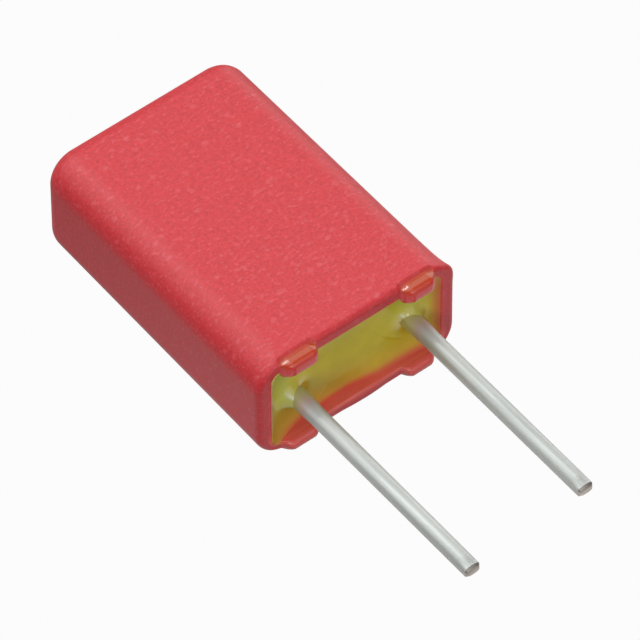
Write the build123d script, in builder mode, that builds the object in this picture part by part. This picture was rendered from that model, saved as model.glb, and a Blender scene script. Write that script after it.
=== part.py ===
from build123d import *
import os

# Box film capacitor, lying on one of its broad sides with its two leads pointing towards -Y.
# Sizes are in millimetres. X runs along the box and from lead to lead, Y is the height of the
# box over its board, and Z is its thickness. The origin is on the surface it lies on, under
# the middle of its outline.

# Moulded case, an open box whose rim faces the board
body_length = 4.80
body_thickness = 2.75
body_height = 6.95
draft_angle = 0.4
long_edge_radius = 0.75
end_edge_radius = 0.44
rim_edge_radius = 0.10
wall = 0.32
end_wall = 0.40
cavity_corner_radius = 0.20
cavity_end_radius = 0.12

# Four stand-off feet on the two long sides of the rim
foot_length = 0.73
foot_height = 0.21
foot_offset = 1.48
foot_setback = 0.04
foot_inner_lip = 0.03
foot_root = 0.12
foot_edge_radius = 0.09
foot_corner_radius = 0.11

# Gate mark, the low swelling that the mould leaves on one long side of the rim
gate_mark_length = 1.10
gate_mark_height = 0.04
gate_mark_offset = 0.20
gate_mark_margin = 0.03

# Tinned wire leads
lead_diameter = 0.38
lead_pitch = 2.90
lead_reach_left = 5.38
lead_reach_right = 5.21
tip_bevel = 0.11
weld_length = 3.20
weld_flat = 0.04
weld_step = 0.15

# Wound film element and the sprayed metal on its two ends
spray_thickness = 0.18
spray_edge_chamfer = 0.05
winding_front_cover = 1.15
winding_back_cover = 0.35
winding_side_cover = 0.13

# Poured resin: how far its surface lies below the rim, and how it climbs walls and leads
resin_recess = 0.25
resin_edge_gap = 0.03
wall_meniscus_width = 0.26
dish_corner_radius = 0.12
lead_meniscus_gap = 0.05
lead_meniscus_lip = 0.03
lead_meniscus_width = 0.34

# Overrun past a face, for clean cuts
overrun = 0.10

# Places that follow from the sizes
longest_reach = max(lead_reach_left, lead_reach_right)
closed_y = (body_height + longest_reach) / 2
rim_y = closed_y - body_height
mid_z = body_thickness / 2
lead_radius = lead_diameter / 2
lead_x = lead_pitch / 2

cavity_length = body_length - 2 * wall
cavity_thickness = body_thickness - 2 * wall
cavity_depth = body_height - end_wall

winding_front = rim_y + winding_front_cover
winding_back = rim_y + cavity_depth - winding_back_cover
winding_height = winding_back - winding_front
winding_thickness = cavity_thickness - 2 * winding_side_cover
contact_face_x = lead_x - lead_radius + weld_flat
winding_half_width = contact_face_x - spray_thickness


def inward_plane(y):
    """Section across the box at y, facing the closed end."""
    return Plane((0, y, mid_z), x_dir=Plane.XZ.x_dir, z_dir=-Plane.XZ.z_dir)


def outward_plane(y):
    """Section across the box at y, facing the board."""
    return Plane((0, y, mid_z), x_dir=Plane.XZ.x_dir, z_dir=Plane.XZ.z_dir)


def lengthwise_plane(x, y):
    """Plane across the box from front to back at x, with its origin at y and half the thickness."""
    return Plane((x, y, mid_z), x_dir=Plane.YZ.x_dir, z_dir=Plane.YZ.z_dir)


# Cavity: the space inside the case, which the resin fills up to its own surface
with BuildPart() as cavity:
    with BuildSketch(inward_plane(rim_y)):
        RectangleRounded(cavity_length, cavity_thickness, cavity_corner_radius)
    extrude(amount=cavity_depth, taper=draft_angle)
    fillet(cavity.faces().sort_by(Axis.Y)[-1].edges(), cavity_end_radius)


# Case
foot_thickness = wall - foot_setback + foot_inner_lip
foot_z = mid_z - foot_setback - foot_thickness / 2

with BuildPart() as case:
    # Drafted outer form with its broad rounded edges
    with BuildSketch(inward_plane(rim_y)):
        RectangleRounded(body_length, body_thickness, long_edge_radius)
    extrude(amount=body_height, taper=draft_angle)
    fillet(case.faces().sort_by(Axis.Y)[-1].edges(), end_edge_radius)
    fillet(case.faces().sort_by(Axis.Y)[0].edges(), rim_edge_radius)
    add(cavity.part, mode=Mode.SUBTRACT)

    # Feet, rooted in the wall and standing out past the rim
    with BuildSketch(outward_plane(rim_y + foot_root)):
        with GridLocations(2 * foot_offset, 2 * foot_z, 2, 2):
            RectangleRounded(foot_length, foot_thickness, foot_corner_radius)
    extrude(amount=foot_root + foot_height)
    foot_ends = case.faces().filter_by(Plane.XZ).group_by(Axis.Y)[0]
    fillet(foot_ends.edges(), foot_edge_radius)

    # Gate mark on the lower long side of the rim
    mark_start = gate_mark_offset - gate_mark_length / 2
    mark_end = gate_mark_offset + gate_mark_length / 2
    with BuildSketch(Plane.XY.offset(rim_edge_radius + gate_mark_margin)):
        with BuildLine():
            ThreePointArc(
                (mark_start, rim_y),
                (gate_mark_offset, rim_y - gate_mark_height),
                (mark_end, rim_y),
            )
            Polyline(
                (mark_end, rim_y),
                (mark_end, rim_y + foot_root),
                (mark_start, rim_y + foot_root),
                (mark_start, rim_y),
            )
        make_face()
    extrude(amount=wall - rim_edge_radius - 2 * gate_mark_margin)


# Film winding: a flattened roll whose axis runs from lead to lead
with BuildPart() as film_winding:
    with BuildSketch(lengthwise_plane(-winding_half_width, (winding_front + winding_back) / 2)):
        SlotOverall(winding_height, winding_thickness)
    extrude(amount=2 * winding_half_width)


def end_contact(side):
    """Sprayed metal layer that closes the end of the winding on one side."""
    with BuildPart() as contact:
        plane = lengthwise_plane(side * winding_half_width, (winding_front + winding_back) / 2)
        with BuildSketch(plane):
            SlotOverall(winding_height, winding_thickness)
        extrude(amount=side * spray_thickness)
        flat_faces = contact.faces().filter_by(Plane.YZ)
        outer_face = flat_faces.sort_by(lambda face: side * face.center().X)[-1]
        chamfer(outer_face.edges(), spray_edge_chamfer)
    return contact.part


def lead(side, reach):
    """Round wire from its pinched tip to the flat where it is welded to the sprayed metal."""
    tip_y = rim_y - reach
    weld_start = winding_front - weld_step
    weld_end = winding_front + weld_length
    with BuildPart() as wire:
        with BuildSketch(inward_plane(tip_y)):
            with Locations((side * lead_x, 0)):
                Circle(lead_radius)
        extrude(amount=weld_end - tip_y)

        # Two bevels meet in a straight ridge where the cutter closed on the wire
        with BuildSketch(lengthwise_plane(side * lead_x, tip_y)):
            with BuildLine():
                Polyline(
                    (0, 0),
                    (tip_bevel, lead_radius),
                    (tip_bevel, lead_radius + overrun),
                    (-overrun, lead_radius + overrun),
                    (-overrun, 0),
                    close=True,
                )
            make_face()
            mirror(about=Plane.XZ)
        extrude(amount=lead_diameter, both=True, mode=Mode.SUBTRACT)

        # Flat on the side that faces the winding
        with BuildSketch(lengthwise_plane(side * contact_face_x, weld_start)):
            with Locations((0, 0)):
                Rectangle(
                    weld_end - weld_start + overrun,
                    lead_diameter + overrun,
                    align=(Align.MIN, Align.CENTER),
                )
        extrude(amount=-side * lead_diameter, mode=Mode.SUBTRACT)
    return wire.part


end_contact_left = end_contact(-1)
end_contact_right = end_contact(1)
lead_left = lead(-1, lead_reach_left)
lead_right = lead(1, lead_reach_right)


# Resin seal: fills the cavity round everything it holds
resin_front = rim_y + resin_edge_gap
resin_floor = rim_y + resin_recess
dish_length = cavity_length - 2 * wall_meniscus_width
dish_thickness = cavity_thickness - 2 * wall_meniscus_width
meniscus_radius = lead_radius + lead_meniscus_width

with BuildPart() as resin_seal:
    add(cavity.part)

    # The surface ends just below the rim and dishes down from the walls
    with BuildSketch(inward_plane(rim_y - overrun)):
        Rectangle(body_length, body_thickness)
    extrude(amount=overrun + resin_edge_gap, mode=Mode.SUBTRACT)
    with BuildSketch(inward_plane(resin_front)):
        RectangleRounded(cavity_length, cavity_thickness, cavity_corner_radius)
    with BuildSketch(inward_plane(resin_floor)):
        RectangleRounded(dish_length, dish_thickness, dish_corner_radius)
    loft(mode=Mode.SUBTRACT)

    # Collars where it creeps up the two leads
    for side in (-1, 1):
        with BuildSketch(Plane.XY.offset(mid_z)):
            with BuildLine():
                top = (side * (lead_x + lead_radius + lead_meniscus_lip), rim_y + lead_meniscus_gap)
                foot = (side * (lead_x + meniscus_radius), resin_floor)
                RadiusArc(top, foot, side * lead_meniscus_width)
                Polyline(
                    foot,
                    (foot[0], resin_floor + overrun),
                    (side * lead_x, resin_floor + overrun),
                    (side * lead_x, top[1]),
                    top,
                )
            make_face()
        revolve(axis=Axis((side * lead_x, rim_y, mid_z), Axis.Y.direction))

    # It takes the form of what it surrounds, and of the feet's roots at its edge
    held = (film_winding.part, end_contact_left, end_contact_right, lead_left, lead_right)
    for piece in (case.part, *held):
        add(piece, mode=Mode.SUBTRACT)


# Files, one for each piece
pieces = {
    "case": case.part,
    "resin_seal": resin_seal.part,
    "film_winding": film_winding.part,
    "end_contact_left": end_contact_left,
    "end_contact_right": end_contact_right,
    "lead_left": lead_left,
    "lead_right": lead_right,
}

os.makedirs("parts", exist_ok=True)
for name, piece in pieces.items():
    piece.label = name
    export_step(piece, f"parts/{name}.step")
    print(name, f"{piece.volume:.4f}", piece.bounding_box())
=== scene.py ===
# %% [markdown]
# A box film capacitor lies on one of its broad sides. Its open end, filled with resin, faces
# -Y, and its two wires point the same way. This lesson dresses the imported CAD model: the case,
# the resin and the wires are rebuilt as fine surfaces, and every piece gets its finish.
# All shapes are worked out in millimetres and turned into metres when a mesh is made.

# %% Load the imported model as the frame
import math

import bpy
import numpy as np
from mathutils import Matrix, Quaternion, Vector


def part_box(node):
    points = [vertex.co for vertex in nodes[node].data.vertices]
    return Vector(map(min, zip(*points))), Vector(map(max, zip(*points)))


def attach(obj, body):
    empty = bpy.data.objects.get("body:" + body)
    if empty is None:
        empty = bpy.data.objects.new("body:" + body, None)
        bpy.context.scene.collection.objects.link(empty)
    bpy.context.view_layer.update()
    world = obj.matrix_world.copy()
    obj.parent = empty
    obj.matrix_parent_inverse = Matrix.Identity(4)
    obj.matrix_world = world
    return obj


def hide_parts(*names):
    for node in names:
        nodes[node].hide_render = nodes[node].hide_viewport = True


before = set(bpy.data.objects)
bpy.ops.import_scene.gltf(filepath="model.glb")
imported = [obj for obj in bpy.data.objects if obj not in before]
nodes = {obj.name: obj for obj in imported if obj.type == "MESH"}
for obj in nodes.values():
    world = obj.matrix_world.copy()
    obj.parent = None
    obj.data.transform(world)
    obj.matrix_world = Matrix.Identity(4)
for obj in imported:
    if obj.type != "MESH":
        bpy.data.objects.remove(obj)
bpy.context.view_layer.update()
mm = 0.001
print("CAD nodes:", sorted(nodes))

# %% [markdown]
# The CAD nodes already say how long, wide and thick each piece is. Reading those boxes, and
# only naming the small details here, keeps the dressed model on the frame.

# %% Sizes of the case
def box_mm(node):
    """Lowest and highest corner of a CAD node, in millimetres."""
    low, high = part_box(node)
    return np.array(low) / mm, np.array(high) / mm


case_low, case_high = box_mm("case")
foot_height = 0.21
draft = math.tan(math.radians(0.4))
rim_round = 0.14
closed_y = case_high[1]
rim_y = case_low[1] + foot_height
mid_z = (case_low[2] + case_high[2]) / 2
half_x = case_high[0]
half_z = (case_high[2] - case_low[2]) / 2
corner_radius = 0.75
end_round = 0.44
wall = 0.32
inner_corner = 0.20
end_wall = 0.40
floor_y = closed_y - end_wall
floor_round = 0.12
print(f"rim at y {rim_y:.3f}, box {2 * half_x:.2f} by {2 * half_z:.2f} mm")

# %% [markdown]
# Two curves come back all through the lesson: an eased step, which starts and ends gently,
# and a bell, which falls off softly on both sides of a place.

# %% Two soft curves
def eased(share):
    """Goes from 0 to 1 with share: three times its square less twice its cube."""
    return share**2 * (3 - 2 * share)


def bell(away, width):
    """1 where away is 0. The exponential of less the square of away over width."""
    return np.exp(-((away / width) ** 2))


print("one width from the middle the bell has", round(float(bell(1.0, 1.0)), 3))

# %% [markdown]
# Every new piece here is a stack of closed outlines. The next helper joins them into a skin
# with quads, closes both ends with a fan of triangles, and turns the faces outwards.

# %% One skin over a stack of outlines
def signed_volume(points, triangles):
    """Sum over all triangles of corner A times the cross product of corners B and C, over six.

    It is positive when the faces point outwards."""
    a, b, c = (points[triangles[:, i]] for i in range(3))
    return float((a * np.cross(b, c)).sum() / 6)


def skin(name, rings, material, **masks):
    """Closed surface through rings, an array of outline by station by coordinate.

    Station i of one outline is joined to station i + 1 and to the same two stations of the
    next outline, the last station to the first, and the middle of the first and of the last
    outline closes the ends. Each mask, one value for each station of each outline, becomes an
    attribute that the piece's material can read."""
    rows, columns = rings.shape[:2]
    here = np.arange(rows * columns).reshape(rows, columns)
    beside = np.roll(here, -1, axis=1)
    quads = np.stack([here[:-1], beside[:-1], beside[1:], here[1:]], axis=-1).reshape(-1, 4)
    points = np.vstack([rings.reshape(-1, 3), rings[0].mean(axis=0), rings[-1].mean(axis=0)])
    start, stop = np.full(columns, len(points) - 2), np.full(columns, len(points) - 1)
    fans = np.vstack([
        np.stack([beside[0], here[0], start], axis=-1),
        np.stack([here[-1], beside[-1], stop], axis=-1),
    ])
    triangles = np.vstack([quads[:, [0, 1, 2]], quads[:, [0, 2, 3]], fans])
    volume = signed_volume(points - points.mean(axis=0), triangles)
    if volume < 0:
        quads, fans = quads[:, ::-1], fans[:, ::-1]
    mesh = bpy.data.meshes.new(name)
    mesh.from_pydata((points * mm).tolist(), [], quads.tolist() + fans.tolist())
    mesh.polygons.foreach_set("use_smooth", np.ones(len(mesh.polygons), dtype=bool))
    mesh.materials.append(material)
    for label, values in masks.items():
        held = np.append(values.ravel(), [values[0].mean(), values[-1].mean()])
        mesh.attributes.new(label, "FLOAT", "POINT").data.foreach_set("value", held)
    piece = bpy.data.objects.new(name, mesh)
    bpy.context.scene.collection.objects.link(piece)
    print(f"{name}: {2 * len(quads) + len(fans)} triangles, {abs(volume):.3f} mm3")
    return piece


# %% [markdown]
# Materials are built from shader nodes. A short helper places a node, sets its options and
# its unlinked inputs, and links what it is given, so that each finish reads from top to
# bottom like a recipe.

# %% Helpers for shader nodes
def put(tree, kind, settings=None, **inputs):
    """Adds a node. An input is a plain value, or another node's output, which gets linked."""
    made = tree.nodes.new(kind)
    for option, value in (settings or {}).items():
        setattr(made, option, value)
    for label, value in inputs.items():
        wanted = label.replace("_", " ")
        if wanted.startswith("at "):
            socket = made.inputs[int(wanted[3:])]
        else:
            socket = made.inputs[wanted]
        if isinstance(value, bpy.types.NodeSocket):
            tree.links.new(value, socket)
        else:
            socket.default_value = value
    return made


def step(tree, operation, first, second):
    """One step of arithmetic on two values."""
    made = put(tree, "ShaderNodeMath", {"operation": operation}, at_0=first, at_1=second)
    return made.outputs[0]


def times(tree, first, second):
    """Product of two values."""
    return step(tree, "MULTIPLY", first, second)


def blend_colour(tree, share, first, second):
    """Colour that goes from first to second as share goes from 0 to 1."""
    made = put(tree, "ShaderNodeMix", {"data_type": "RGBA"}, at_0=share, at_6=first,
               at_7=second)
    return made.outputs[2]


def stretch(tree, value, low, high, new_low=0.0, new_high=1.0):
    """Maps low to high onto new_low to new_high and clamps outside."""
    made = put(tree, "ShaderNodeMapRange", {"clamp": True}, Value=value, From_Min=low,
               From_Max=high, To_Min=new_low, To_Max=new_high)
    return made.outputs[0]


def mask(tree, label):
    """Value of a piece's own attribute at the shaded point."""
    return put(tree, "ShaderNodeAttribute", {"attribute_name": label}).outputs["Fac"]


def add_bump(tree, shader, height, strength, distance):
    """Tilts the shader's normal by a height whose full range is the distance."""
    bump = put(tree, "ShaderNodeBump", None, Strength=strength, Distance=distance,
               Height=height)
    tree.links.new(bump.outputs[0], shader.inputs["Normal"])


def new_material(name):
    """Empty material with its output, its tree and its shader."""
    material = bpy.data.materials.new(name)
    material.use_nodes = True
    tree = material.node_tree
    tree.nodes.clear()
    shader = tree.nodes.new("ShaderNodeBsdfPrincipled")
    output = tree.nodes.new("ShaderNodeOutputMaterial")
    tree.links.new(shader.outputs[0], output.inputs[0])
    return material, tree, shader


def new_group(name, inputs, outputs):
    """Empty node group with named float inputs, their usual values, and named outputs."""
    group = bpy.data.node_groups.new(name, "ShaderNodeTree")
    for label, usual in inputs.items():
        made = group.interface.new_socket(name=label, in_out="INPUT", socket_type="NodeSocketFloat")
        made.default_value = usual
    for label in outputs:
        group.interface.new_socket(name=label, in_out="OUTPUT", socket_type="NodeSocketFloat")
    entry = group.nodes.new("NodeGroupInput")
    leave = group.nodes.new("NodeGroupOutput")
    place = group.nodes.new("ShaderNodeTexCoord").outputs["Object"]
    return group, entry.outputs, leave.inputs, place


def use(tree, group, **inputs):
    """Places a node group in a material."""
    return put(tree, "ShaderNodeGroup", {"node_tree": group}, **inputs).outputs


# %% [markdown]
# Moulded plastic, resin and sprayed metal all have a fine grain that isn't even: small soft
# blotches with smaller ones inside. One node group makes that from two sizes of noise, and
# each material sets its own size.

# %% Shared effect: mottled grain
grain, given, result, place = new_group(
    "mottled_grain", {"Size": 8000.0, "Detail": 0.6}, ["Tone", "Height"])
coarse = put(grain, "ShaderNodeTexNoise", None, Vector=place, Scale=given["Size"],
             Roughness=given["Detail"], at_3=3.0)
finer_size = times(grain, given["Size"], 3.7)
finer = put(grain, "ShaderNodeTexNoise", None, Vector=place, Scale=finer_size,
            Roughness=0.7, at_3=2.0)
tone_sum = step(grain, "ADD", times(grain, coarse.outputs[0], 0.62),
                times(grain, finer.outputs[0], 0.38))
height_sum = step(grain, "ADD", times(grain, coarse.outputs[0], 0.5),
                  times(grain, finer.outputs[0], 0.5))
grain.links.new(stretch(grain, tone_sum, 0.36, 0.64), result["Tone"])
grain.links.new(height_sum, result["Height"])
print("group", grain.name, [socket.name for socket in result])

# %% [markdown]
# Dust and filler specks are small separate dots. Cells of a Voronoi pattern give the dots
# their places, and a second pattern decides which cells keep theirs, so they stay rare.

# %% Shared effect: scattered specks
specks, given, result, place = new_group(
    "scattered_specks", {"Size": 6000.0, "Share": 0.3, "Reach": 0.25}, ["Mask"])
warp = put(specks, "ShaderNodeTexNoise", None, Vector=place, Scale=given["Size"])
bent = put(specks, "ShaderNodeMix", {"data_type": "RGBA", "blend_type": "LINEAR_LIGHT"},
           at_0=0.00006, at_6=place, at_7=warp.outputs["Color"]).outputs[2]
cells = put(specks, "ShaderNodeTexVoronoi", None, Vector=bent, Scale=given["Size"])
chosen = put(specks, "ShaderNodeSeparateColor", None, Color=cells.outputs["Color"]).outputs[0]
kept = step(specks, "LESS_THAN", chosen, given["Share"])
spread = step(specks, "DIVIDE", cells.outputs["Distance"], given["Reach"])
dot = stretch(specks, spread, 0.5, 1.0, 1.0, 0.0)
specks.links.new(times(specks, dot, kept), result["Mask"])
print("group", specks.name, [socket.name for socket in result])

# %% [markdown]
# Wire that was pulled through a die carries faint lines along its length, and wound film
# shows the edges of its turns. Both are noise stretched along one direction, so one group
# with a factor for each direction serves both.

# %% Shared effect: drawn lines
lines, given, result, place = new_group(
    "drawn_lines", {"Size": 9000.0, "Along X": 1.0, "Along Y": 0.03, "Along Z": 1.0},
    ["Tone"])
factors = put(lines, "ShaderNodeCombineXYZ", None, X=given["Along X"], Y=given["Along Y"],
              Z=given["Along Z"])
squeezed = put(lines, "ShaderNodeVectorMath", {"operation": "MULTIPLY"}, at_0=place,
               at_1=factors.outputs[0])
streak = put(lines, "ShaderNodeTexNoise", None, Vector=squeezed.outputs[0],
             Scale=given["Size"], Roughness=0.6, at_3=4.0)
lines.links.new(stretch(lines, streak.outputs[0], 0.34, 0.66), result["Tone"])
print("group", lines.name, [socket.name for socket in result])

# %% [markdown]
# The case is a red moulded plastic with a satin, slightly blotchy skin. Light flecks of
# filler sit just under the surface. The colour, the roughness and the bump all follow the same
# grain, as they do on the real part. The feet and the inner edge of the rim are smoother and
# glossier, with a deeper red whose extra brightness is painted light on the feet's front faces.
# The roots of the upper feet look browner. The inside of the lower wall is painted a lighter,
# pinker red, as painted light in the shade it lies in.

# %% Finish of the case
case_plastic, tree, shader = new_material("case_plastic")
body = use(tree, grain, Size=16000.0)
broad = use(tree, grain, Size=1500.0)
flow = use(tree, lines, Size=14000.0, Along_X=0.55, Along_Y=1.0)
fleck = use(tree, specks, Size=5200.0, Share=0.16, Reach=0.42)
feet, glossy = mask(tree, "feet"), mask(tree, "glossy")
tone = blend_colour(tree, body["Tone"], (0.48, 0.012, 0.018, 1), (0.67, 0.033, 0.040, 1))
tone = blend_colour(tree, times(tree, broad["Tone"], 0.25), tone, (0.55, 0.024, 0.030, 1))
streaks = times(tree, stretch(tree, flow["Tone"], 0.66, 0.98), 0.18)
tone = blend_colour(tree, streaks, tone, (0.78, 0.22, 0.25, 1))
tone = blend_colour(tree, times(tree, fleck["Mask"], 0.16), tone, (0.78, 0.20, 0.22, 1))
# Painted light in part: the glossy feet and inner rim edge get a deeper red that is also brighter,
# standing in for light on the feet's front faces.
tone = blend_colour(tree, times(tree, glossy, 0.8), tone, (0.80, 0.020, 0.016, 1))
tone = blend_colour(tree, times(tree, feet, 0.85), tone, (0.41, 0.060, 0.006, 1))
# Painted light: the inside of the lower wall is made a lighter, pinker red than its shade would
# show.
tone = blend_colour(tree, mask(tree, "inner"), tone, (0.90, 0.145, 0.115, 1))
tree.links.new(tone, shader.inputs["Base Color"])
dull = stretch(tree, body["Tone"], 0.0, 1.0, 0.44, 0.54)
smooth = stretch(tree, glossy, 0.0, 1.0, 1.0, 0.42)
tree.links.new(times(tree, dull, smooth), shader.inputs["Roughness"])
shader.inputs["Specular IOR Level"].default_value = 0.53
calm = stretch(tree, glossy, 0.0, 1.0, 1.0, 0.0)
add_bump(tree, shader, times(tree, body["Height"], calm), 0.4, 0.004 * mm)
print("finish", case_plastic.name)

# %% [markdown]
# The resin is a filled epoxy, olive yellow and smooth, with a few fine pits. It mirrors
# little, apart from the collars round the wires, which get a clear coat. Its colour changes
# slowly: greener where the layer is thin. Near the red walls it is redder and warmer, partly
# the wall seen through the thin edge and partly painted red light from the walls. A pale line
# on the left and pale spots on the drops are painted highlights.

# %% Finish of the resin
sealing_resin, tree, shader = new_material("sealing_resin")
cloud = use(tree, grain, Size=700.0, Detail=0.5)
fine = use(tree, grain, Size=9000.0)
pits = use(tree, specks, Size=4200.0, Share=0.08, Reach=0.30)
tone = blend_colour(tree, cloud["Tone"], (0.62, 0.505, 0.017, 1), (0.76, 0.615, 0.030, 1))
tone = blend_colour(tree, times(tree, fine["Tone"], 0.3), tone, (0.74, 0.60, 0.035, 1))
# Painted light among these colours: the red near the walls is partly the wall seen through the
# resin and partly painted red light from the walls; the orange is painted red light from the walls;
# the pale edge and the pale drops are painted highlights.
for label, colour in (("thin", (0.52, 0.56, 0.13, 1)), ("warm", (0.76, 0.38, 0.080, 1)),
                      ("wall_glow", (0.74, 0.13, 0.07, 1)), ("edge", (0.72, 0.46, 0.36, 1)),
                      ("drop", (0.82, 0.84, 0.68, 1))):
    tone = blend_colour(tree, mask(tree, label), tone, colour)
tree.links.new(tone, shader.inputs["Base Color"])
tree.links.new(stretch(tree, fine["Tone"], 0.0, 1.0, 0.14, 0.20), shader.inputs["Roughness"])
tree.links.new(mask(tree, "collar"), shader.inputs["Coat Weight"])
shader.inputs["Coat Roughness"].default_value = 0.12
shader.inputs["Coat IOR"].default_value = 1.5
shader.inputs["Specular IOR Level"].default_value = 0.09
height = step(tree, "SUBTRACT", times(tree, fine["Height"], 0.4),
              times(tree, pits["Mask"], 0.5))
add_bump(tree, shader, height, 0.2, 0.005 * mm)
print("finish", sealing_resin.name)

# %% [markdown]
# The wires are copper-clad steel with a coat of tin: a satin metal, a little warmer where the
# coat is thin, with drawing lines along it. Near the resin a thin film of it covers them, olive
# where it is thick, and painted pink where it thins out, as painted reflection of the red case.
# Where the cutter went through, the steel core shows as a darker, smeared face, and its upper
# half is painted darker still, as painted shade.

# %% Finish of the wires and of their cut tips
tinned_wire, tree, shader = new_material("tinned_wire")
drawn = use(tree, lines, Size=9000.0, Along_Y=0.04)
patch = use(tree, grain, Size=1500.0)
tone = blend_colour(tree, drawn["Tone"], (0.39, 0.40, 0.375, 1), (0.48, 0.49, 0.46, 1))
tone = blend_colour(tree, times(tree, patch["Tone"], 0.3), tone, (0.45, 0.44, 0.40, 1))
film = mask(tree, "film")
# Painted reflection: where the film thins out, the wire is tinted pink, as if it mirrored the red
# case there.
tone = blend_colour(tree, stretch(tree, film, 0.0, 0.6), tone, (0.56, 0.40, 0.38, 1))
tone = blend_colour(tree, stretch(tree, film, 0.4, 1.0), tone, (0.58, 0.55, 0.26, 1))
tree.links.new(tone, shader.inputs["Base Color"])
dull = stretch(tree, drawn["Tone"], 0.0, 1.0, 0.54, 0.44)
smooth = stretch(tree, film, 0.0, 0.9, 1.0, 0.80)
tree.links.new(times(tree, dull, smooth), shader.inputs["Roughness"])
tree.links.new(stretch(tree, film, 0.0, 1.0, 0.50, 0.1), shader.inputs["Metallic"])
add_bump(tree, shader, drawn["Tone"], 0.2, 0.003 * mm)

cut_wire, tree, shader = new_material("cut_wire")
smear = use(tree, lines, Size=14000.0, Along_X=0.15, Along_Y=1.0)
tone = blend_colour(tree, smear["Tone"], (0.38, 0.34, 0.30, 1), (0.58, 0.53, 0.47, 1))
# Painted shade: the upper half of the cut face is made darker.
tone = blend_colour(tree, stretch(tree, mask(tree, "upper"), 0.45, 0.85, 0.0, 0.75), tone,
                    (0.15, 0.135, 0.125, 1))
tree.links.new(tone, shader.inputs["Base Color"])
tree.links.new(stretch(tree, smear["Tone"], 0.0, 1.0, 0.55, 0.40), shader.inputs["Roughness"])
shader.inputs["Metallic"].default_value = 1.0
print("finishes", tinned_wire.name, cut_wire.name)

# %% [markdown]
# Inside, the winding is a roll of metallised film, and its ends are closed by sprayed zinc.
# Neither shows from outside, but both are real pieces and get their real finish.

# %% Finishes of the winding and its end contacts
metallised_film, tree, shader = new_material("metallised_film")
turns = use(tree, lines, Size=16000.0, Along_X=0.02, Along_Y=1.0)
tone = blend_colour(tree, turns["Tone"], (0.50, 0.51, 0.54, 1), (0.78, 0.79, 0.81, 1))
tree.links.new(tone, shader.inputs["Base Color"])
tree.links.new(stretch(tree, turns["Tone"], 0.0, 1.0, 0.30, 0.18), shader.inputs["Roughness"])
shader.inputs["Metallic"].default_value = 0.9

sprayed_metal, tree, shader = new_material("sprayed_metal")
drops = use(tree, grain, Size=9000.0, Detail=0.75)
tone = blend_colour(tree, drops["Tone"], (0.30, 0.31, 0.32, 1), (0.56, 0.57, 0.58, 1))
tree.links.new(tone, shader.inputs["Base Color"])
tree.links.new(stretch(tree, drops["Tone"], 0.0, 1.0, 0.8, 0.55), shader.inputs["Roughness"])
shader.inputs["Metallic"].default_value = 0.8
add_bump(tree, shader, drops["Height"], 0.8, 0.02 * mm)

for node, finish in (("film_winding", metallised_film), ("end_contact_left", sprayed_metal),
                     ("end_contact_right", sprayed_metal)):
    nodes[node].material_slots[0].material = finish
    print(node, "gets", finish.name)

# %% [markdown]
# The case's section is a rectangle with large round corners. A quarter of it is enough: a few
# stations up the short side, an arc, and stations along the long side. Mirroring the quarter
# gives the whole outline. Near the rim the stations crowd at the ends of the feet, so that
# the feet get crisp sides, and further back they spread out evenly.

# %% Stations along the quarter outline
foot_offset = 1.48
foot_half = 0.365
foot_edge = 0.14
first_long_x = 1.94
short_share = np.linspace(0, 1, 8, endpoint=False)
arc_share = np.linspace(0, 1, 18, endpoint=False)

side_steps = np.array([-0.085, -0.060, -0.040, -0.024, -0.012, -0.003])
side_rise = np.array([0.0, 0.02, 0.06, 0.12, 0.19, 0.26])
end_bend = 0.17
end_drop = 0.71
turn = np.radians(np.linspace(0, 90, 9))
end_steps = np.concatenate([side_steps, end_bend * (0.5 - 0.5 * np.cos(turn) + turn / np.pi)])
end_rise = np.concatenate([side_rise, 1 - end_drop * (1 - np.sin(turn))])
outer_end, inner_end = foot_offset + foot_half, foot_offset - foot_half
top_x = np.linspace(outer_end - end_steps[-1], inner_end + end_steps[-1], 9)[1:-1]
plain_x = np.linspace(inner_end + end_steps[0], 0, 22)[1:]
crowded_x = np.concatenate([
    [first_long_x], outer_end - end_steps, top_x, (inner_end + end_steps)[::-1], plain_x])
ramp_length, ramp_slope = 0.14, 0.39
from_end = np.minimum(outer_end - crowded_x, crowded_x - inner_end)


def along_side(values):
    """Values for the stations of the long side, after zeros for the short side and the arc."""
    return np.concatenate([np.zeros(len(short_share) + len(arc_share)), values])


def over_foot(end_values):
    """Values at a foot's end, ones along the foot and the end mirrored, zeros elsewhere."""
    return along_side(np.concatenate([
        [0], end_values, np.ones(len(top_x)), end_values[::-1], np.zeros(len(plain_x))]))


foot_share = over_foot(end_rise)
foot_lift = over_foot(np.concatenate([[0.0, 0.12, 0.38, 0.68, 0.92, 1.0], np.ones(len(turn))]))
end_ramp = along_side(ramp_slope * np.clip(ramp_length - from_end, 0, ramp_length))
print("stations in a quarter:", len(foot_share))

# %% Quarter outline and whole outline
def quarter_outline(reach_x, reach_z, radius, long_x, short_share):
    """Places on a rounded rectangle's quarter, one row for each ring.

    Up the short side at full reach in x, then round the corner's arc until it meets the first
    of long_x, then along the long side, where z is the arc's height at that x or full reach."""
    centre_x, centre_z = reach_x - radius, reach_z - radius
    meets = np.arccos(np.clip((long_x[:, :1] - centre_x) / radius, 0, 1))
    angle = arc_share * meets
    past = np.clip(long_x - centre_x, 0, radius)
    x = np.hstack([reach_x + 0 * short_share, centre_x + radius * np.cos(angle), long_x])
    z = np.hstack([centre_z * short_share, centre_z + radius * np.sin(angle),
                   centre_z + np.sqrt(radius**2 - past**2)])
    return x, z


def whole_turn(values, sign_x=1, sign_z=1):
    """Mirrors quarter values to all four quarters and keeps each shared station once."""
    return np.hstack([values, sign_x * values[:, -2::-1], sign_x * sign_z * values[:, 1:],
                      sign_z * values[:, -2:0:-1]])


print("stations around:", whole_turn(foot_share[None]).shape[1])

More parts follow.
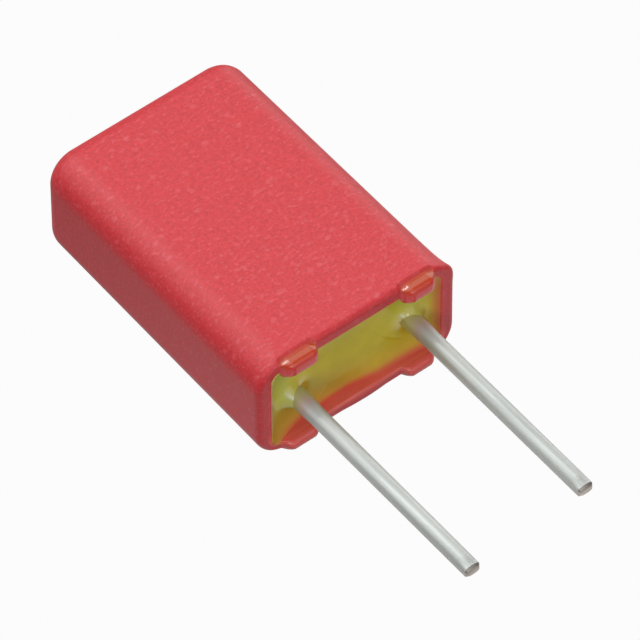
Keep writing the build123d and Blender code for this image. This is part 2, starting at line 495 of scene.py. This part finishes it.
# %% [markdown]
# Going from the closed end to the rim and back down inside, each ring has four numbers: how
# far it lies inside the outer face (its depth), its y, its corner radius, and how much it is
# shrunk towards the middle where a flat end closes. Across the rim there are two such
# profiles, one for the plain rim and one for a foot.

# %% Rings of the case away from the rim
def shift(y):
    """How far the drafted wall has drawn in at y: distance from the rim times the slope."""
    return np.maximum(y - rim_y, 0) * draft


end_shrink = np.array([0.03, 0.12, 0.25, 0.40, 0.55, 0.70, 0.84, 0.94])
back_turn = np.radians(np.linspace(0, 90, 15))
outer_y = np.concatenate([np.linspace(closed_y - end_round, rim_y + 0.6, 22)[1:],
                          rim_y + np.array([0.50, 0.38, 0.29, 0.22, 0.17])])
end_rings = [
    (np.full(8, end_round), np.full(8, closed_y), end_shrink),
    (end_round * (1 - np.sin(back_turn)), closed_y - end_round * (1 - np.cos(back_turn)),
     np.ones(15)),
    (np.zeros(len(outer_y)), outer_y, np.ones(len(outer_y))),
]
inner_y = np.concatenate([rim_y + np.array([0.19, 0.24, 0.34, 0.5, 0.8]),
                          np.linspace(rim_y + 1.3, floor_y - floor_round, 8)])
floor_turn = np.radians(np.linspace(0, 90, 6))[1:]
floor_rings = [
    (np.full(len(inner_y), wall), inner_y, np.ones(len(inner_y))),
    (wall + floor_round * (1 - np.cos(floor_turn)),
     floor_y - floor_round * (1 - np.sin(floor_turn)), np.ones(5)),
    (np.full(8, wall + floor_round), np.full(8, floor_y), end_shrink[::-1]),
]
print("rings outside and inside:", [len(part[0]) for part in end_rings + floor_rings])

# %% Profiles across the rim and across a foot
foot_setback, foot_root = 0.04, 0.12
upper_foot_depth, lower_foot_depth = 0.45, 0.33
inner_round = 0.035
rim_turn = np.radians(np.array([0, 12, 24, 36, 48, 58, 67, 75, 83, 90]))
edge_turn = np.radians(np.linspace(0, 90, 7))
inner_turn = np.radians(np.linspace(0, 90, 5))

rim_depth = np.concatenate([
    rim_round * (1 - np.cos(rim_turn)),
    np.linspace(rim_round + 0.01, wall - inner_round, 17),
    wall - inner_round * (1 - np.sin(inner_turn)),
    np.full(4, wall)])
rim_rise = np.concatenate([
    -rim_round * (1 - np.sin(rim_turn)),
    np.zeros(17),
    -inner_round * (1 - np.cos(inner_turn)),
    np.array([-0.05, -0.08, -0.11, -0.13])])
foot_slope = np.linspace(0, 1, 10)
foot_hollow, hollow_end, ramp_inner = 0.035, 0.55, -0.15
foot_back = np.minimum(foot_slope / hollow_end, 1)
foot_back_smooth = eased(foot_back)


def foot_section(reach):
    """Depth of each ring across a foot whose inner side lies reach inside the outer face."""
    return np.concatenate([
        foot_setback * foot_back_smooth + foot_hollow * np.sin(np.pi * foot_back) ** 1.5,
        foot_setback + foot_edge * (1 - np.cos(edge_turn[1:])),
        np.linspace(foot_setback + foot_edge, reach - foot_edge, 6)[1:],
        reach - foot_edge * (1 - np.sin(edge_turn[1:])),
        wall + (reach - wall) * np.array([1, 1, 1, 1, 0.95, 0.75, 0.40, 0.10]), [wall]])


foot_rim_depth = foot_section(upper_foot_depth)
foot_rim_rise = np.concatenate([
    -rim_round + (rim_round + foot_height - foot_edge) * foot_slope,
    foot_height - foot_edge * (1 - np.sin(edge_turn[1:])),
    np.full(5, foot_height),
    foot_height - foot_edge * (1 - np.cos(edge_turn[1:])),
    (foot_height - foot_edge) * np.array([0.75, 0.5, 0.25, 0]),
    np.array([-0.03, -0.06, -0.09, -foot_root]), [-0.13]])
ramp_factor = np.concatenate([
    foot_back_smooth, np.ones(6), np.linspace(1, ramp_inner, 5), np.full(6, ramp_inner),
    np.linspace(ramp_inner, 0, 9)])
foot_gloss = np.concatenate([
    np.clip((foot_slope - 0.4) / 0.2, 0, 1), np.ones(17), np.linspace(1, 0, 9)])
foot_tint = np.concatenate([
    foot_back_smooth, np.linspace(0.9, 0.0, 6), np.zeros(20)])
print("rings across the rim:", len(rim_depth), "and across a foot:", len(foot_rim_depth))

# %% [markdown]
# With all rings listed, the case is worked out at once: outline, mirrored quarters, and on
# the long sides a blend between the rim's profile and the foot's. Small accidents of the
# moulding follow as soft bumps: longer left feet, the gate mark on the lower rim, a lip at the
# upper right corner and a slight flare on the right.

# %% Outline of every ring
def ring_values(column):
    """One column of the ring tables, in order from the closed end to the inner floor."""
    rim = (rim_depth, rim_y - rim_rise, np.ones(len(rim_depth)))
    return np.concatenate([part[column] for part in end_rings + [rim] + floor_rings])[:, None]


depth, ring_y, shrink = (ring_values(column) for column in range(3))
first_rim = sum(len(part[0]) for part in end_rings)
rim_slice = slice(first_rim, first_rim + len(rim_depth))
outside = np.arange(len(depth))[:, None] < first_rim
inside = np.arange(len(depth))[:, None] >= first_rim + len(rim_depth)
radius = np.where(
    outside, corner_radius - shift(ring_y) - depth,
    np.where(inside, inner_corner - shift(ring_y) - (depth - wall),
             corner_radius + (inner_corner - corner_radius) * depth / wall))
reach_x = half_x - depth - shift(ring_y)
reach_z = half_z - depth - shift(ring_y)
crowd_reach, crowd_fade = 0.30, 0.9
crowding = 1 - eased(np.clip((ring_y - rim_y - crowd_reach) / crowd_fade, 0, 1))
even_x = (reach_x - radius) * np.linspace(1, 0, len(crowded_x))
long_x = np.maximum(crowding * crowded_x + (1 - crowding) * even_x, 0)
quarter_x, quarter_z = quarter_outline(reach_x, reach_z, radius, long_x, short_share)
print("grid of the quarter:", quarter_x.shape)

# %% Feet, then the whole grid
def on_rim(values):
    """Grid of the quarter with values on the rings across the rim and 0 on all others."""
    grid = np.zeros((len(depth), len(foot_share)))
    grid[rim_slice] = values
    return grid


foot_z = on_rim((half_z - foot_rim_depth)[:, None] - ramp_factor[:, None] * end_ramp)
foot_y = on_rim((rim_y - foot_rim_rise)[:, None])
share, lift = on_rim(foot_share), on_rim(foot_lift)
quarter_z = (1 - lift) * quarter_z + lift * foot_z
quarter_y = (1 - share) * ring_y + share * foot_y

case_x = whole_turn(quarter_x * shrink, sign_x=-1)
case_z = whole_turn(quarter_z * shrink, sign_z=-1)
case_y = whole_turn(quarter_y)
across = whole_turn(lift)
thinner = on_rim((foot_rim_depth - foot_section(lower_foot_depth))[:, None] * foot_lift)
case_z = case_z - whole_turn(thinner) * (case_z < 0)
print("feet reach y", round(float(case_y.min()), 4), "and the CAD", round(float(case_low[1]), 4))

# %% Left feet, gate mark, corner lip and flare
def fading(length):
    """1 in front of the rim. Behind it, the exponential of less the distance over length."""
    return np.exp(-np.maximum(ring_y - rim_y, 0) / length)


stretch_out, stretch_back, stretch_at, stretch_width = 0.11, 0.15, -1.25, 0.45
case_x = case_x + stretch_out * fading(stretch_back) * bell(case_x - stretch_at, stretch_width)

mark_x, mark_half, mark_height, mark_bulge = 0.20, 0.55, 0.04, 0.04
mark_start, bulge_start, bulge_fade = 0.03, 0.20, 0.12
lens = np.clip(1 - ((case_x - mark_x) / mark_half) ** 2, 0, 1) * (case_z < 0)
over_rim = np.zeros_like(depth)
mark_share = np.clip((rim_depth - mark_start) / (wall - mark_start), 0, 1)
over_rim[rim_slice, 0] = np.sin(np.pi * mark_share) ** 0.7
case_y = case_y - mark_height * lens * over_rim
inner_side = np.clip((depth - bulge_start) / bulge_fade, 0, 1) * fading(bulge_fade)
case_z = case_z + mark_bulge * lens**2 * inner_side * (1 - across)

lip_out, lip_back, lip_bearing, lip_turn = 0.065, 0.20, math.radians(28), 0.30
lip_from_x, lip_from_z = 1.6, 0.3
bearing = np.arctan2(case_z - (half_z - corner_radius), case_x - (half_x - corner_radius))
at_corner = (case_x > lip_from_x) & (case_z > lip_from_z)
near_corner = bell(bearing - lip_bearing, lip_turn) * at_corner
near_rim = fading(lip_back) * np.clip(1 - depth / wall, 0, 1)
case_x = case_x + lip_out * near_corner * near_rim * np.cos(bearing)
case_z = case_z + lip_out * near_corner * near_rim * np.sin(bearing)
flare_out, flare_ease = 0.05, 0.5
on_right = np.clip((case_x - (half_x - corner_radius)) / flare_ease, 0, 1)
case_x = case_x + flare_out * near_rim * eased(on_right)
print("flare reaches x", round(float(case_x.max()), 4), "and the CAD", round(float(half_x), 4))

# %% Colour masks of the case, then the case itself
root = whole_turn(on_rim(foot_tint[:, None] * foot_lift)) * (case_z > 0)
bead = whole_turn(on_rim(foot_gloss[:, None] * foot_lift))
edge_gloss, gloss_width, gloss_back = 0.6, 0.05, 0.06
inner_edge = bell(depth - wall, gloss_width) * np.clip(1 - (ring_y - rim_y) / gloss_back, 0, 1)
bead = np.maximum(bead, edge_gloss * inner_edge)
# Painted light on the inside of the lower wall, fading in with depth behind the rim and towards the
# lower side.
lower_from_z, lower_fade = -0.6, 0.3
within = np.clip((depth - 0.6 * wall) / (0.35 * wall), 0, 1) * ~outside
within = within * np.clip((lower_from_z - case_z) / lower_fade, 0, 1)
case_shell = skin("case_shell", np.stack([case_x, case_y, case_z + mid_z], axis=-1),
                  case_plastic, feet=root, glossy=bead, inner=within)
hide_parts("case")
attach(case_shell, "root")

# %% [markdown]
# The resin wets the walls and the wires, so it climbs them and sags between. A liquid's edge
# falls off with distance in an exponential curve. The height at a point joins the climb at
# the wall and the climb at each wire, so that they flow into each other where they are near.
# Two flow lines, one an arc and one straight, and a small drop beside each wire lie on top.

# %% Surface height of the resin
leads = {side: box_mm(f"lead_{side}") for side in ("left", "right")}
lead_x = {side: (low[0] + high[0]) / 2 for side, (low, high) in leads.items()}
lead_z = (leads["left"][0][2] + leads["left"][1][2]) / 2 - mid_z
lead_radius = (leads["left"][1][2] - leads["left"][0][2]) / 2
cavity_x, cavity_z = half_x - wall, half_z - wall
deepest, highest = 0.30, -0.16
wall_fade = {"left": 0.30, "right": 0.20, "lower": 0.20, "upper": 0.20}
wall_contact = {"left": 0.0, "right": 0.03, "lower": 0.27, "upper": 0.08}
lead_contact = {"left": (-0.04, -0.13), "right": (0.09, 0.14)}
lead_fade = {"left": 0.17, "right": 0.13}
left_reach, right_reach, right_drop, lead_tilt = 0.6, 0.7, 0.5, 0.4
ripple_height, ripple_width = 0.016, 0.035
arc_x, arc_z, arc_radius, arc_middle, arc_reach = 2.36, 1.07, 1.94, 0.92, 0.38
line_offset, line_middle, line_reach = 0.15, -0.59, 0.13
drop_height, drop_width = 0.045, 0.050
drop_places = ((lead_x["left"] - 0.205, lead_z + 0.175), (lead_x["right"] - 0.185, lead_z + 0.19))


def climb(contact, away, fade):
    """Share of the full height that is left flat: one less the climb at the contact, which
    falls off with the distance in an exponential curve."""
    share = (deepest - contact) / (deepest - highest)
    return 1 - share * np.exp(-np.maximum(away, 0) / fade)


def resin_height(x, z):
    """y of the poured surface: highest point plus the full depth times all flat shares."""
    flat = climb(wall_contact["left"], x + cavity_x, wall_fade["left"])
    flat = flat * climb(wall_contact["right"], cavity_x - x, wall_fade["right"])
    near_left = np.exp(-np.maximum(x + cavity_x, 0) / left_reach)
    to_right = np.clip(x / right_reach, 0, 1)
    lower = wall_contact["lower"] * (1 - near_left) * (1 - right_drop * to_right)
    flat = flat * climb(lower, z + cavity_z, wall_fade["lower"])
    flat = flat * climb(wall_contact["upper"], cavity_z - z, wall_fade["upper"])
    for side, centre in lead_x.items():
        away = np.hypot(x - centre, z - lead_z)
        middle, swing = lead_contact[side]
        leftward = (centre - x - lead_tilt * (z - lead_z)) / np.maximum(away, lead_radius)
        contact = middle + swing * leftward
        flat = flat * climb(contact, away - lead_radius, lead_fade[side])
    from_arc = np.hypot(x - arc_x, z - arc_z) - arc_radius
    ripple = bell(from_arc, ripple_width) * np.exp(-(((x - arc_middle) / arc_reach) ** 4))
    from_line = z - x + line_offset
    ripple = ripple + 0.5 * bell(from_line, ripple_width) * bell(x - line_middle, line_reach)
    drops = sum(bell(np.hypot(x - drop_x, z - drop_z), drop_width)
                for drop_x, drop_z in drop_places)
    return (rim_y + highest + (deepest - highest) * flat - ripple_height * ripple
            - drop_height * drops)


print("resin in the middle at y", round(float(resin_height(np.array(0.0), np.array(0.0))), 3))

# %% Resin body
resin_overlap, bottom_inset = 0.003, 0.1
top_share = np.sin(np.linspace(0.02, np.pi / 2, 90))[:, None]
one_row = np.ones((1, 1))
resin_long = (cavity_x - inner_corner) * np.linspace(1, 0, 60)[None]
rim_x, rim_z = quarter_outline(one_row * (cavity_x + resin_overlap),
                               one_row * (cavity_z + resin_overlap), one_row * inner_corner,
                               resin_long, np.linspace(0, 1, 40, endpoint=False))
loop_x, loop_z = whole_turn(rim_x, sign_x=-1), whole_turn(rim_z, sign_z=-1)
top_x, top_z = top_share * loop_x, top_share * loop_z
top = np.stack([top_x, resin_height(top_x, top_z), top_z + mid_z], axis=-1)

down_y = np.concatenate([
    rim_y + np.array([0.5, 1.2, 2.5, 4.0]), [floor_y - bottom_inset, floor_y]])[:, None]
draw_in = shift(down_y)
draw_in[-1] += bottom_inset
sides = np.stack([(1 - draw_in / cavity_x) * loop_x, down_y + 0 * loop_x,
                  (1 - draw_in / cavity_z) * loop_z + mid_z], axis=-1)
bottom_share = np.array([0.7, 0.35, 0.05])[:, None]
bottom = np.stack([bottom_share * sides[-1, :, 0], floor_y + 0 * bottom_share * loop_x,
                   bottom_share * (sides[-1, :, 2] - mid_z) + mid_z], axis=-1)
body_rings = np.concatenate([top, sides, bottom])
print("resin rings:", len(body_rings), "of", loop_x.shape[1], "stations")

# %% [markdown]
# The resin's colour masks follow the distance to what causes them. Near the red walls below
# and on the right the resin shows red, partly the wall seen through its thin edge and partly
# painted red light from the walls, with a wider band of painted orange light further out. It
# looks thin in the upper part near both wires. A pale line up the left wall and pale spots on
# the drops beside the wires are painted highlights. The masks cover the poured surface only,
# since the sides and the back are hidden in the case.

# %% Colour masks of the resin, then the resin itself
at_x, at_z = body_rings[:, :, 0], body_rings[:, :, 2] - mid_z
from_left, from_right, from_floor = cavity_x + at_x, cavity_x - at_x, cavity_z + at_z


def above(height, softness):
    """Goes from 0 to 1 where the distance from the lower wall passes height."""
    return 1 / (1 + np.exp((height - from_floor) / softness))


# Near the lower and right walls: partly the red wall seen through the resin's thin edge, partly
# painted red light thrown from the walls.
glow_below, glow_right, right_glow, left_fade = 0.10, 0.12, 0.8, 0.8
glow = np.maximum(bell(from_floor, glow_below) * np.clip(from_left / left_fade, 0.1, 1),
                  right_glow * bell(from_right, glow_right))
# Painted red light thrown from the lower and right walls, as a wider orange band that sinks lower
# towards the right.
warm_below, warm_right, lower_warmth, right_warmth = 0.60, 0.28, 0.8, 0.22
sink_depth, sink_from, sink_length = 0.28, -0.2, 0.8
sunk = sink_depth * np.clip((at_x - sink_from) / sink_length, 0, 1)
warm = np.maximum(lower_warmth * bell(from_floor + sunk, warm_below),
                  right_warmth * bell(from_right, warm_right))

# Strength, place and width along x, and height and softness of the lower end
thin_patches = ((0.8, lead_x["left"] - 0.28, 0.30, 0.75, 0.14),
                (0.6, lead_x["right"] + 0.05, 0.50, 1.10, 0.10))
thin = np.zeros_like(at_x)
for strength, patch_x, width, height, softness in thin_patches:
    thin = np.maximum(thin, strength * bell(at_x - patch_x, width) * above(height, softness))

# Painted highlight: a pale line up the resin's edge at the left wall, starting a little above the
# lower wall.
edge_strength, edge_width, edge_from, edge_rise = 0.55, 0.08, 0.3, 0.4
edge = np.clip((from_floor - edge_from) / edge_rise, 0, 1)
edge = edge_strength * bell(from_left, edge_width) * edge
# Painted highlight: pale spots on the small drops beside the wires.
drop_strength, pale_width = 0.75, 0.055
drop = drop_strength * sum(bell(np.hypot(at_x - drop_x, at_z - drop_z), pale_width)
                           for drop_x, drop_z in drop_places)
collar_width = 0.16
from_wires = np.minimum(*(np.hypot(at_x - centre, at_z - lead_z) for centre in lead_x.values()))
collar = bell(np.maximum(from_wires - lead_radius, 0), collar_width)

seen = np.arange(len(body_rings))[:, None] < len(top)
resin = skin("resin", body_rings, sealing_resin, wall_glow=glow * seen, warm=warm * seen,
             thin=thin * seen, edge=edge * seen, collar=collar * seen, drop=drop * seen)
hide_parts("resin_seal")
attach(resin, "root")

# %% [markdown]
# A wire is a round section carried along a straight path. At its tip the cutter pinched it
# before it broke off, so there the section gets lower and boxier, more and more towards a
# small blunt face. At its inner end, one side is flat where it is welded to the sprayed metal.

# %% Wires
tip_face, tip_pinch = 0.045, 0.28
pinch_boxy, pinch_narrow, pinch_low = 0.50, 0.06, 0.24
face_narrow, face_low = 0.18, 0.26
sharp_angle = math.radians(35)
weld_flat_x, weld_step = 1.30, 0.15
weld_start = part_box("film_winding")[0].y / mm - weld_step
weld_edge, ring_gap = 0.004, 0.01
sunk_y = rim_y + 0.40
upper_span, facing_board = 1.2, -0.5
round_angle = np.linspace(0, 2 * np.pi, 128, endpoint=False)[None]
film_length, film_thickness, film_uneven, film_turn = 0.66, 0.022, 0.35, 1.0
film_end = {"left": rim_y - 0.68, "right": rim_y - 0.55}


def wire(side, sign):
    """Circle of the wire's radius, and of the resin film's where that covers it, at each y.

    Near the tip z follows a power of the sine that falls below one, which makes the section
    boxy, and both z and x are drawn in. Behind the weld's start x ends at the flat."""
    low, high = leads[side]
    tip_y, end_y = low[1], high[1]
    pinch_y = tip_y + tip_face + tip_pinch
    y = np.concatenate([np.linspace(tip_y, tip_y + tip_face, 7)[:-1],
                        np.linspace(tip_y + tip_face, pinch_y, 14)[:-1],
                        np.linspace(pinch_y, film_end[side], 36),
                        np.linspace(film_end[side] + ring_gap, sunk_y - ring_gap, 60),
                        np.linspace(sunk_y + ring_gap, weld_start, 6),
                        np.linspace(weld_start + weld_edge, end_y, 4)])[:, None]
    covered = np.clip((y - film_end[side]) / film_length, 0, 1)
    uneven = film_uneven * np.sin(2 * round_angle + film_turn) * covered * (1 - covered)
    film = eased(np.clip(covered + uneven, 0, 1))
    swell = film_thickness * film * (y < sunk_y)
    pinch = eased(np.clip((pinch_y - y) / tip_pinch, 0, 1))
    face = np.clip(1 - (y - tip_y) / tip_face, 0, 1)
    narrow = 1 - pinch_narrow * pinch - face_narrow * face
    x = (lead_radius + swell) * np.cos(round_angle) * narrow
    sine = np.sin(round_angle)
    boxy_sine = np.sign(sine) * np.abs(sine) ** (1 - pinch_boxy * pinch)
    z = (lead_radius + swell) * boxy_sine * (1 - pinch_low * pinch - face_low * face)
    # Share of the section's height, which the cut tip's finish reads to paint shade on the upper
    # half of the cut face.
    upper = np.clip(0.5 + z / (upper_span * lead_radius), 0, 1)
    flat = np.where(y > weld_start, abs(weld_flat_x - abs(lead_x[side])), lead_radius)
    x = np.where(sign * x < -flat, -sign * flat, x)
    rings = np.stack([x + lead_x[side], y + 0 * x, z + lead_z + mid_z], axis=-1)
    return skin(f"wire_{side}", rings, tinned_wire, film=film, upper=upper)


for side, sign in (("left", -1), ("right", 1)):
    piece = wire(side, sign)
    mesh = piece.data
    mesh.materials.append(cut_wire)
    middles, facing = np.empty((2, len(mesh.polygons) * 3))
    mesh.polygons.foreach_get("center", middles)
    mesh.polygons.foreach_get("normal", facing)
    on_tip = middles[1::3] < (leads[side][0][1] + tip_face) * mm
    cut = on_tip & (facing[1::3] < facing_board)
    mesh.polygons.foreach_set("material_index", cut.astype(np.int32))
    mesh.set_sharp_from_angle(angle=sharp_angle)
    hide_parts(f"lead_{side}")
    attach(piece, "root")
    print(piece.name, "cut faces:", int(cut.sum()))

# %% [markdown]
# The floor is a plain sheet. The camera should see it nearly white, as the photograph's
# background is, but it should throw little light back on the part. Light Path tells the two
# apart. Rays from the camera and through glass see a bright sheet with a soft shadow in it.
# Rays from glossy surfaces see it too, but brightest beside the part and darker further off,
# so that the mirrored light follows the part's shape. All other rays meet a dark matte sheet.
# The surroundings follow the same rule.

# %% Floor and surroundings
def seen_directly(tree, mirrored):
    """1 for rays from the camera and through glass, mirrored for rays from glossy surfaces,
    and 0 for all others."""
    path = tree.nodes.new("ShaderNodeLightPath").outputs
    first = step(tree, "MAXIMUM", path["Is Camera Ray"], path["Is Transmission Ray"])
    return step(tree, "MAXIMUM", first, times(tree, path["Is Glossy Ray"], mirrored))


mirror_far, sheet_share, dark_grey = 0.35, 0.97, 0.10
bright_middle, bright_near, bright_far = (2.5 * mm, -3.0 * mm, 0), 5 * mm, 13 * mm
paper = bpy.data.materials.new("paper_floor")
paper.use_nodes = True
tree = paper.node_tree
tree.nodes.clear()
matte = put(tree, "ShaderNodeBsdfDiffuse", None, Color=(dark_grey, dark_grey, dark_grey, 1))
bright = put(tree, "ShaderNodeEmission", None, Color=(1, 1, 1, 1), Strength=1.0)
spot = put(tree, "ShaderNodeTexCoord", None).outputs["Object"]
away = put(tree, "ShaderNodeVectorMath", {"operation": "DISTANCE"}, at_0=spot,
           at_1=bright_middle).outputs["Value"]
near_part = stretch(tree, away, bright_near, bright_far, 1.0, mirror_far)
portion = times(tree, seen_directly(tree, near_part), sheet_share)
mixed = put(tree, "ShaderNodeMixShader", None, at_0=portion, at_1=matte.outputs[0],
            at_2=bright.outputs[0])
put(tree, "ShaderNodeOutputMaterial", None, Surface=mixed.outputs[0])

floor_half = 600 * mm
floor_mesh = bpy.data.meshes.new("floor")
corners = np.array([[-1, -1, 0], [1, -1, 0], [1, 1, 0], [-1, 1, 0]]) * floor_half
floor_mesh.from_pydata(corners.tolist(), [], [[0, 1, 2, 3]])
floor_mesh.materials.append(paper)
floor = bpy.data.objects.new("floor", floor_mesh)
bpy.context.scene.collection.objects.link(floor)

world = bpy.data.worlds.new("studio")
bpy.context.scene.world = world
world.use_nodes = True
tree = world.node_tree
tree.nodes.clear()
ambient = 0.03
strength = stretch(tree, seen_directly(tree, mirror_far), 0.0, 1.0, ambient, 1.0)
around = put(tree, "ShaderNodeBackground", None, Color=(1, 1, 1, 1), Strength=strength)
put(tree, "ShaderNodeOutputWorld", None, Surface=around.outputs[0])
print("floor half width", round(floor_half, 3), "m, ambient light", ambient)

# %% [markdown]
# One large soft lamp hangs above the part, a little to the back. The top face mirrors it
# faintly, which makes the red look powdery pink there. A fill lamp in front lights the open
# end, and a third lamp stands low behind on the right. Two small bright ones, one behind and
# one in front, add small highlights like those that glossy edges have in the photograph.

# %% Lamps
aim = Vector((0.382, 0.854, 0.739)) * mm


def area_lamp(name, shape, way, far, wide, glow, colour=(1, 1, 1)):
    """Lamp that looks at the aim. Its power is its glow times pi times its area, and the area
    is the square of its width, or pi quarters of that for a disk."""
    way = Vector(way).normalized()
    area = wide**2 * (math.pi / 4 if shape == "DISK" else 1)
    data = bpy.data.lights.new(name, "AREA")
    data.shape = shape
    data.color = colour
    data.size = wide
    data.energy = glow * math.pi * area
    lamp = bpy.data.objects.new(name, data)
    lamp.location = aim + way * far
    lamp.rotation_mode = "QUATERNION"
    lamp.rotation_quaternion = (-way).to_track_quat("-Z", "Y")
    bpy.context.scene.collection.objects.link(lamp)
    print(name, "energy", round(data.energy, 4), "W")


area_lamp("softbox", "SQUARE", (-0.29, 0.42, 0.86), 220 * mm, 390 * mm, 1.64, (0.94, 1.0, 1.04))
area_lamp("fill", "SQUARE", (-0.04, -0.82, 0.46), 220 * mm, 220 * mm, 1.40)
area_lamp("side_lamp", "SQUARE", (0.86, 0.38, 0.34), 220 * mm, 200 * mm, 1.9)
area_lamp("glint_back", "DISK", (-0.20, 0.50, 0.84), 240 * mm, 20 * mm, 55.0)
area_lamp("glint_front", "DISK", (-0.55, -0.75, 0.36), 240 * mm, 60 * mm, 7.0)

# %% [markdown]
# The camera stands where the photograph's did. Its bearing, height angle and long lens were
# worked out from the outline of the box in the picture.

# %% Camera
bearing_angle = math.radians(-37.984)
height_angle = math.radians(50.874)
roll_angle = math.radians(0.329)
camera_far = 172.5 * mm
camera_way = Vector((math.cos(height_angle) * math.sin(bearing_angle),
                     -math.cos(height_angle) * math.cos(bearing_angle), math.sin(height_angle)))
camera_data = bpy.data.cameras.new("camera")
camera_data.sensor_width = 36.0
camera_data.lens = 499.09
camera_data.clip_start = 10 * mm
camera_data.clip_end = 10.0
camera = bpy.data.objects.new("camera", camera_data)
camera.location = aim + camera_way * camera_far
camera.rotation_mode = "QUATERNION"
upright = (-camera_way).to_track_quat("-Z", "Y")
camera.rotation_quaternion = upright @ Quaternion((0, 0, 1), -roll_angle)
bpy.context.scene.collection.objects.link(camera)
bpy.context.scene.camera = camera
bpy.context.scene.view_settings.view_transform = "Standard"
print("camera at", [round(value / mm, 2) for value in camera.location])
